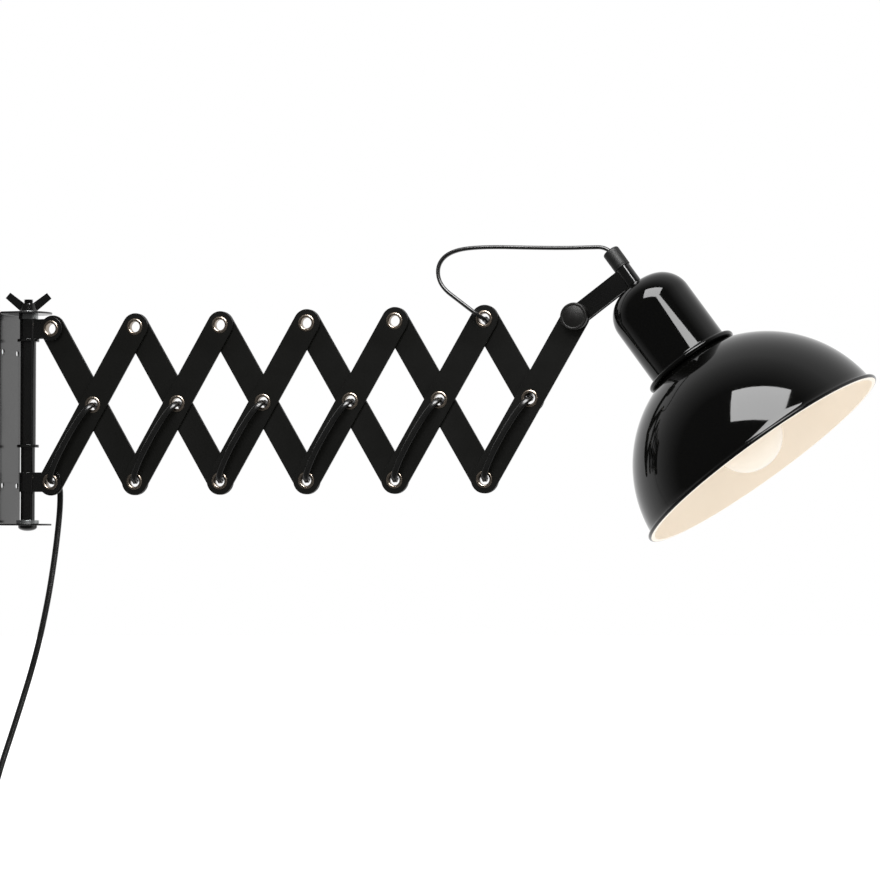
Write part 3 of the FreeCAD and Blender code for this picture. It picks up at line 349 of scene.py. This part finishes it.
def flat_cable(name, points, across, place, wound=False):
    """The cable's tube along points. Its wide way starts across, and is carried along, or kept if wound."""
    sides = 16
    squareness = 0.8
    corners, faces = [], []
    heading = (points[1] - points[0]).normalized()
    across = Vector(across)
    wide = (across - heading * across.dot(heading)).normalized()
    for number, point in enumerate(points):
        before = points[max(number - 1, 0)]
        after = points[min(number + 1, len(points) - 1)]
        onward = (after - before).normalized()
        if wound:
            wide = (across - onward * across.dot(onward)).normalized()
        else:
            wide = (heading.rotation_difference(onward) @ wide).normalized()
        heading = onward
        thick = onward.cross(wide)
        for step in range(sides):
            turn = 2 * math.pi * step / sides
            w = math.copysign(abs(math.cos(turn)) ** squareness, math.cos(turn)) * CABLE_WIDE / 2 * MM
            t = math.copysign(abs(math.sin(turn)) ** squareness, math.sin(turn)) * CABLE_THICK / 2 * MM
            corners.append(point + wide * w + thick * t)
    for number in range(len(points) - 1):
        low = number * sides
        for step in range(sides):
            after = (step + 1) % sides
            faces.append([low + step, low + after, low + sides + after, low + sides + step])
    faces.append(list(range(sides)))
    faces.append(list(range(len(corners) - sides, len(corners))))
    piece = made(name, corners, faces, [0] * len(faces), place, [pvc_black], sharp=60)
    return piece


def woven(number, front, x, z):
    """The cable beside the lower half of one bar, from bore to bore."""
    off = -0.0074 if front else 0.0074
    corners = [(0, 0, 0), (0, off, 0), (-0.0034, off * 1.03, -0.020), (-0.0034, off * 1.03, -0.055),
               (0, off, -0.075), (0, 0, -0.075)]
    lean = math.radians(BAR_LEAN if front else -BAR_LEAN)
    place = Matrix.Translation((x * MM, 0, z * MM)) @ Matrix.Rotation(lean, 4, "Y")
    side = "front" if front else "back"
    piece = flat_cable("cable_%s_%d" % (side, number), line_through(corners, 8), (1, 0, 0), place)
    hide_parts("%s_cable_%d" % (side, number))
    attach(piece, "%s_%d" % (side, number))


for number in range(1, 7):
    middle = PIVOT_FIRST + (2 * number - 1) * STEP_ACROSS
    woven(number, True, middle, PIVOT_TOP - STEP_UP)
    if number < 6:
        woven(number, False, middle, PIVOT_TOP - STEP_UP)
    else:
        woven(number, False, middle - STEP_ACROSS, PIVOT_TOP)

# Head strap and hand knob. A steel strip wrapped round the stem, its ears either side of the last bar and a
# spacer, clamped by a screw with a moulded knob in front and a nut behind.

dress("head_strap", gloss_black, 0.22)
dress("head_spacer", zinc, 0.2)
dress("knob_screw", zinc, 0.2)
dress("knob_nut", zinc, 0.25)
# Moulded phenolic: a matt, slightly brown black whose sheen drifts a little.
phenolic = surface("phenolic_moulded", "#141311", "#100f0e", 0.46, 0.06, 9, 0.5, 0.008, specular=0.2)

KNOB_X = PIVOT_FIRST + 12 * STEP_ACROSS
knob_profile = [(3.05, 0), (10.2, 0)] + arc(10.2, 0.8, 0.8, 180, 90, 4) + arc(10.0, 5.0, 1.0, 90, 0, 5)
knob_profile += [(9.2, 6.0), (9.0, 5.85), (8.4, 5.85), (8.2, 6.0), (0, 6.0), (0, 4.5), (3.05, 4.5)]
knob = turned("hand_knob_face", knob_profile, across_bars(KNOB_X, PIVOT_TOP, -STRAPS_HALF), [phenolic])
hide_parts("knob")
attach(knob, "hand_knob")

# Stem and cord grip. A thin steel tube that turns in the strap and hangs the shade, with a moulded nylon
# grip on its top that pinches the cable. A lock nut under the cup holds cup and tube together.

HEAD_LEAN = 36.3
STRAP_REACH = 53.5
HEAD_UP = Vector((-math.sin(math.radians(HEAD_LEAN)), 0, math.cos(math.radians(HEAD_LEAN))))
STRAP_CENTRE = Vector((KNOB_X + STRAP_REACH * math.cos(math.radians(HEAD_LEAN)), 0,
                       PIVOT_TOP + STRAP_REACH * math.sin(math.radians(HEAD_LEAN))))
on_stem = Matrix.Translation(STRAP_CENTRE * MM) @ Matrix.Rotation(math.radians(-HEAD_LEAN), 4, "Y")

dress("stem_pipe", gloss_black, 0.15)
dress("stem_nut", zinc, 0.3)
# Moulded nylon: matt black with the fine spark-eroded grain of its mould.
nylon = surface("nylon_moulded", "#171716", "#131312", 0.50, 0.06, 12, 0.45, 0.008, specular=0.25)
grip_profile = [(5.02, 8.3), (6.8, 8.3), (7.0, 8.5), (7.0, 9.6), (6.8, 9.8), (6.8, 10.2), (7.0, 10.4)]
grip_profile += arc(5.0, 23.6, 2.0, 90, 0, 7) + [(3.5, 25.6), (3.1, 25.2), (3.1, 20.1), (5.02, 20.1)]
grip = turned("cord_grip_moulded", grip_profile, on_stem, [nylon], sides=64)
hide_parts("cord_grip")
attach(grip, "shade")

# Neck cup. Spun aluminium with a round crown and straight sides, its foot rolled outwards to a bead, in
# black gloss enamel. It hides the lampholder and carries the dome on its foot.

# Gloss enamel over spun metal: a deep wet black, with an orange peel that only just bends the reflections.
enamel_black = surface("gloss_enamel_black", "#080807", "#050505", 0.055, 0.015, 60, 9.0, 0.010, specular=0.2)
CROWN = 59.0
STEM_HOLE = 5.02
SPUN_SHEET = 1.0
DOME_RADIUS = 105.0
DOME_CENTRE = -187.5
DOME_FLAT = 34.5
crown_centre = -8.5 - CROWN
corner_across, corner_radius = 10.2, 23.5
corner_up = crown_centre + math.sqrt((CROWN - corner_radius) ** 2 - corner_across ** 2)
crown_lean = math.degrees(math.asin(corner_across / (CROWN - corner_radius)))
SEAT = math.sqrt(DOME_RADIUS ** 2 - DOME_FLAT ** 2) + DOME_CENTRE
neck_profile = arc(0, crown_centre, CROWN, math.degrees(math.asin(STEM_HOLE / CROWN)), crown_lean, 4)
neck_profile += arc(corner_across, corner_up, corner_radius, crown_lean, 90, 14)[1:]
neck_profile += arc(35.3, SEAT + 6.1, 1.6, 270, 180, 4)
neck_profile += arc(37.35, SEAT + 2.25, 2.25, 0, 180, 12)
neck_profile += [(32.7, SEAT)]
neck_profile += arc(corner_across, corner_up, corner_radius - SPUN_SHEET, 90, crown_lean, 10)
neck_profile += arc(0, crown_centre, CROWN - SPUN_SHEET, crown_lean,
                    math.degrees(math.asin(STEM_HOLE / (CROWN - SPUN_SHEET))), 3)[1:]
neck = turned("neck_cup_spun", neck_profile, on_stem, [enamel_black], sides=160)
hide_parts("neck_cup")
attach(neck, "shade")

# Dome. Spun from the same sheet to near half a sphere, with a pierced flat top under the cup's bead and a
# rolled rim. Outside it has the cup's black enamel, and inside a cream one that throws the light down.

# Cream enamel: a soft gloss white with a warm cast.
enamel_cream = surface("gloss_enamel_cream", "#fbf1e2", "#f8ecdb", 0.30, 0.04, 50, 8.0, 0.008, specular=0.4)
dome_profile = [(26.0, SEAT), (33.9, SEAT)]
dome_profile += arc(0, DOME_CENTRE, DOME_RADIUS, 19.6, 85.0, 36)
dome_profile += arc(106.0, -179.1, 1.0, 250, 180, 3)
dome_profile += arc(107.2, -181.6, 1.5, 0, 180, 10)
rim_end = len(dome_profile)
dome_profile += arc(0, DOME_CENTRE, DOME_RADIUS - SPUN_SHEET, 87.6, 19.27, 30)
dome_profile += [(26.0, SEAT - SPUN_SHEET)]
dome = turned("shade_dome_spun", dome_profile, on_stem, [enamel_black, enamel_cream], sides=224,
              inner=rim_end - 1)
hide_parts("shade_dome")
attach(dome, "shade")

# Lampholder and bulb. A moulded thermoset holder on the stem's end takes a screw cap, and a 60 mm round
# bulb of opal glass looks out of the shade.

dress("lampholder", phenolic, 0.3)
dress("bulb_cap", zinc, 0.3)
# Opal glass: milky white and glossy, drawn opaque, since its milk hides what is behind it.
opal = surface("opal_glass", "#f4ebdd", "#f1e6d6", 0.10, 0.02, 40, 12.0, 0.004, specular=0.5)
BULB_CENTRE = -157.7
BULB_RADIUS = 30.0
BULB_FOOT = -103.72
THROAT_RADIUS, THROAT_HEIGHT = 14.2, -110.0
FLANK_STEPS = 9
FLANK_PULL = 32.0
bulb_profile = [(0, BULB_CENTRE - BULB_RADIUS)] + arc(0, BULB_CENTRE, BULB_RADIUS, 176, 60, 20)
flank = bulb_profile[-1]
for step in range(1, FLANK_STEPS + 1):
    part = step / FLANK_STEPS
    rise = FLANK_PULL * (part ** 3 - 2 * part ** 2 + part)
    ease = 3 * part ** 2 - 2 * part ** 3
    landing = FLANK_PULL * (part ** 3 - part ** 2)
    bulb_profile.append((flank[0] * (1 - ease) - 0.5 * rise + THROAT_RADIUS * ease,
                         flank[1] * (1 - ease) + 0.866 * rise + THROAT_HEIGHT * ease + landing))
bulb_profile += [(13.0, BULB_FOOT), (0, BULB_FOOT)]
bulb = turned("bulb_opal", bulb_profile, on_stem, [opal])
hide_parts("bulb_glass")
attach(bulb, "shade")

# Loop to the shade. The same flex leaves the last upper rivet, rises in a free bow and runs over to the
# cord grip. It is drawn as two stretches, which meet near the top of the bow.

loop_split = (0.442, -0.0021, 0.133)
grip_mouth = (STRAP_CENTRE + HEAD_UP * 25.6) * MM
loop_low = [(0.42065, 0, PIVOT_TOP * MM), (0.42065, -0.0085, PIVOT_TOP * MM), (0.4035, -0.0095, 0.089),
            (0.3855, -0.0085, 0.1025), (0.382, -0.0065, 0.119), (0.3915, -0.0045, 0.1305),
            (0.4145, -0.0032, 0.1342), loop_split]
loop_high = [loop_split, (0.467, -0.0011, 0.1319), (0.490, -0.0004, 0.1312), (0.507, 0, 0.1312),
             tuple(grip_mouth + HEAD_UP * 0.0036), tuple(grip_mouth - HEAD_UP * 0.004)]
low_points = line_through(loop_low, 10)
high_points = line_through(loop_high, 10)
low_loop = flat_cable("loop_low", low_points[::-1], (0, 1, 0), Matrix())
high_loop = flat_cable("loop_high", high_points, (0, 1, 0), Matrix())
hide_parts("head_loop_1")
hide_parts("head_loop_2")
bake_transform(low_loop)
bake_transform(high_loop)

# Mains lead. It leaves the lowest rivet at the back and hangs down the wall. What is spare is wound into a
# flat coil of two layers, held by a band, with the moulded plug hanging from its end.

lead = [(0.040, 0, -0.05344), (0.040, 0.0165, -0.05344), (0.0388, 0.0205, -0.070), (0.0384, 0.017, -0.093),
        (0.0372, 0.0105, -0.124), (0.0355, 0.002, -0.156), (0.030, -0.0085, -0.200), (0.0205, -0.024, -0.250),
        (0.0105, -0.044, -0.303), (0.007, -0.0585, -0.350), (0.007, -0.062, -0.375), (0.007, -0.062, -0.3928)]
COIL_X, COIL_Y, COIL_Z = 7.0, -98.0, -398.0
COIL_OUTER, COIL_INNER, COIL_LAST = 36.2, 24.2, 36.0
COIL_LAYER = 5.8
PER_HALF_TURN = 7
INWARD, CLIMBED, HALVES = 6, 7, 12
for step in range(1, HALVES * PER_HALF_TURN):
    halves = step / PER_HALF_TURN
    if halves <= INWARD:
        radius = COIL_OUTER + (COIL_INNER - COIL_OUTER) * halves / INWARD
    elif halves <= CLIMBED:
        radius = COIL_INNER
    else:
        radius = COIL_INNER + (COIL_LAST - COIL_INNER) * (halves - CLIMBED) / (HALVES - CLIMBED)
    climb = min(max(halves - INWARD, 0), 1)
    depth = COIL_X + COIL_LAYER * climb * climb * (3 - 2 * climb)
    reach = radius / math.cos(math.pi / PER_HALF_TURN / 2)
    angle = math.pi * halves
    lead.append((depth * MM, (COIL_Y + reach * math.cos(angle)) * MM,
                 (COIL_Z - reach * math.sin(angle)) * MM))
lead += [(0.0128, -0.062, -0.399), (0.0128, -0.062, -0.410), (0.0128, -0.062, -0.426)]
lead_points = line_through(lead, 6)
mains = flat_cable("mains_flex", lead_points, (1, 0, 0), Matrix(), wound=True)
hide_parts("mains_lead", "mains_coil")
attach(mains, "slider")


def lofted(name, sections, place, finish):
    """A moulded piece through rounded sections: height, half widths across and deep in mm, and squareness."""
    sides = 32
    corners, faces = [], []
    for height, wide, deep, square in sections:
        for step in range(sides):
            turn = 2 * math.pi * step / sides
            y = math.copysign(abs(math.cos(turn)) ** (2 / square), math.cos(turn)) * wide * MM
            x = math.copysign(abs(math.sin(turn)) ** (2 / square), math.sin(turn)) * deep * MM
            corners.append((x, y, height * MM))
    for number in range(len(sections) - 1):
        low = number * sides
        for step in range(sides):
            after = (step + 1) % sides
            faces.append([low + step, low + after, low + sides + after, low + sides + step])
    faces.append(list(range(sides)))
    faces.append(list(range(len(corners) - sides, len(corners))))
    return made(name, corners, faces, [0] * len(faces), place, [finish], sharp=50)


# Moulded plug: semi-matt black thermoplastic, with a ribbed neck that bends with the cable.
plug_black = surface("thermoplastic_moulded", "#1d1d1c", "#181817", 0.48, 0.06, 14, 0.5, 0.012, specular=0.42)
plug_place = Matrix.Translation((0.0128, -0.062, -0.426))
plug_sections = [(0, 3.3, 2.5, 2.4)]
for ring in range(4):
    top = -0.8 - 2.4 * ring
    for down, wide, deep in ((0, 3.6, 3.0), (1.2, 3.7, 3.1), (1.5, 3.1, 2.6), (2.1, 3.1, 2.6)):
        plug_sections.append((top - down, wide + 0.2 * ring, deep + 0.25 * ring, 2.4))
plug_sections += [(-11.0, 4.6, 4.6, 2.6), (-14.0, 6.2, 5.6, 2.8), (-18.0, 9.8, 6.4, 3.2),
                  (-22.0, 12.4, 6.7, 3.8), (-27.0, 12.9, 6.8, 4.2), (-39.6, 12.9, 6.8, 4.4),
                  (-40.6, 12.5, 6.4, 4.4), (-41.0, 11.8, 5.8, 4.4)]
plug = lofted("plug_moulded", plug_sections, plug_place, plug_black)
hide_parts("plug_body")
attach(plug, "slider")
# Plated brass pins with a moulded sleeve over the half next to the plug.
PIN_APART = 18.6
pin_profile = [(0, -60.0)] + arc(0, -58.0, 2.0, 165, 90, 5)
pin_profile += [(2.0, -51.0), (1.9, -50.9), (1.9, -40.8), (0, -40.8)]
for side in (-1, 1):
    place = plug_place @ Matrix.Translation((0, side * PIN_APART / 2 * MM, 0))
    pin = turned("plug_pin_%s" % ("left" if side < 0 else "right"), pin_profile, place, [zinc, plug_black],
                 sides=32, inner=7)
    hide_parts("plug_pins")
    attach(pin, "slider")
# Rubber band: dull black, gripping the turns.
band_rubber = surface("rubber_band", "#222221", "#1b1b1a", 0.62, 0.06, 6, 0.6, 0.02, specular=0.4)
tie = dress("coil_tie", band_rubber, 0.3)

# Room. A plain white floor and surround, with two softboxes in front of the lamp and above it. Gloss shows
# neither the floor nor the softboxes: it shows one lit panel there, and a surround that is dim in front.

FLOOR_HEIGHT, FLOOR_RADIUS, FLOOR_SIDES = -0.60, 14, 64
floor_mesh = bpy.data.meshes.new("floor")
round_floor = [2 * math.pi * step / FLOOR_SIDES for step in range(FLOOR_SIDES)]
floor_mesh.from_pydata([(0.4 + FLOOR_RADIUS * math.cos(turn), FLOOR_RADIUS * math.sin(turn), FLOOR_HEIGHT)
                        for turn in round_floor], [], [list(range(FLOOR_SIDES))])
floor = bpy.data.objects.new("floor", floor_mesh)
bpy.context.collection.objects.link(floor)
floor.visible_glossy = False
floor_paint = bpy.data.materials.new("matt_white_floor")
floor_paint.use_nodes = True
floor_tree = floor_paint.node_tree
floor_shader = floor_tree.nodes["Principled BSDF"]
floor_shader.inputs["Base Color"].default_value = linear("#f4f4f4")
floor_shader.inputs["Roughness"].default_value = 0.9
floor_shader.inputs["Specular IOR Level"].default_value = 0.0
sight = add_node(floor_tree, "LightPath", {})
lift = add_node(floor_tree, "Math", {"operation": "MULTIPLY", 1: 0.5}, {0: sight.outputs["Is Camera Ray"]})
floor_shader.inputs["Emission Color"].default_value = (1, 1, 1, 1)
floor_tree.links.new(lift.outputs[0], floor_shader.inputs["Emission Strength"])
floor_mesh.materials.append(floor_paint)

world = bpy.data.worlds.new("white_surround")
bpy.context.scene.world = world
world.use_nodes = True
sky_tree = world.node_tree
sky = sky_tree.nodes["Background"]
sky.inputs["Color"].default_value = (1, 1, 1, 1)
sight = add_node(sky_tree, "LightPath", {})
way = add_node(sky_tree, "TexCoord", {})
parts = add_node(sky_tree, "SeparateXYZ", {}, {0: way.outputs["Generated"]})
behind = add_node(sky_tree, "MapRange",
                  {"From Min": -0.35, "From Max": 0.25, "To Min": 0.10, "To Max": 1.0},
                  {"Value": parts.outputs["Y"]})
lit = add_node(sky_tree, "MapRange", {"To Min": 1.08}, {"Value": sight.outputs["Is Glossy Ray"]})
sky_tree.links.new(behind.outputs["Result"], lit.inputs["To Max"])
level = add_node(sky_tree, "MapRange", {"To Max": 1.0}, {"Value": sight.outputs["Is Camera Ray"]})
sky_tree.links.new(lit.outputs["Result"], level.inputs["To Min"])
sky_tree.links.new(level.outputs["Result"], sky.inputs["Strength"])


def softbox(name, azimuth, elevation, wide, high, strength):
    """A softbox aimed at the arm below the shade, in metres and degrees. Azimuth 0 is straight in front."""
    away = 2.2
    lamp = bpy.data.lights.new(name, "AREA")
    lamp.shape = "RECTANGLE"
    lamp.size = wide
    lamp.size_y = high
    lamp.energy = strength * math.pi * wide * high
    box = bpy.data.objects.new(name, lamp)
    bpy.context.collection.objects.link(box)
    a, e = math.radians(azimuth), math.radians(elevation)
    back = Vector((math.sin(a) * math.cos(e), -math.cos(a) * math.cos(e), math.sin(e)))
    box.location = Vector((0.6, 0, 0)) + back * away
    box.rotation_euler = back.to_track_quat("Z", "Y").to_euler()
    box.visible_camera = False
    box.visible_glossy = False


softbox("softbox_high", -2, 46, 2.6, 0.82, 2.6)
softbox("softbox_low", 17, 23, 1.5, 0.9, 1.6)

PANEL_CORNERS = [(-0.019, -0.858, 1.734), (1.404, -0.667, 1.784), (1.396, -1.572, 1.131),
                 (-0.019, -1.62, 1.105)]
panel_mesh = bpy.data.meshes.new("panel")
panel_mesh.from_pydata(PANEL_CORNERS, [], [[0, 1, 2, 3]])
panel = bpy.data.objects.new("panel", panel_mesh)
bpy.context.collection.objects.link(panel)
panel.visible_camera = False
panel.visible_diffuse = False
panel.visible_transmission = False
panel.visible_shadow = False
glow = bpy.data.materials.new("diffuser_cloth_lit")
glow.use_nodes = True
glow_tree = glow.node_tree
glow_shader = glow_tree.nodes["Principled BSDF"]
glow_shader.inputs["Base Color"].default_value = (0, 0, 0, 1)
glow_shader.inputs["Emission Color"].default_value = (1, 1, 1, 1)
glow_shader.inputs["Emission Strength"].default_value = 24.0
panel_mesh.materials.append(glow)

# Camera. It stands 2.5 m away on a long lens, nearly level with the arm and 17.5 degrees round towards the
# shade, as fitted to the pivots and the shade's rim.

camera_data = bpy.data.cameras.new("camera")
camera_data.lens = 126.6
camera_data.sensor_width = 36.0
camera_data.clip_end = 100
camera = bpy.data.objects.new("camera", camera_data)
bpy.context.collection.objects.link(camera)
camera.location = (1.13505, -2.38598, -0.10439)
target = Vector((0.3837, -0.003, -0.0215))
camera.rotation_euler = (target - camera.location).to_track_quat("-Z", "Y").to_euler()
bpy.context.scene.camera = camera
bpy.context.scene.view_settings.view_transform = "Standard"
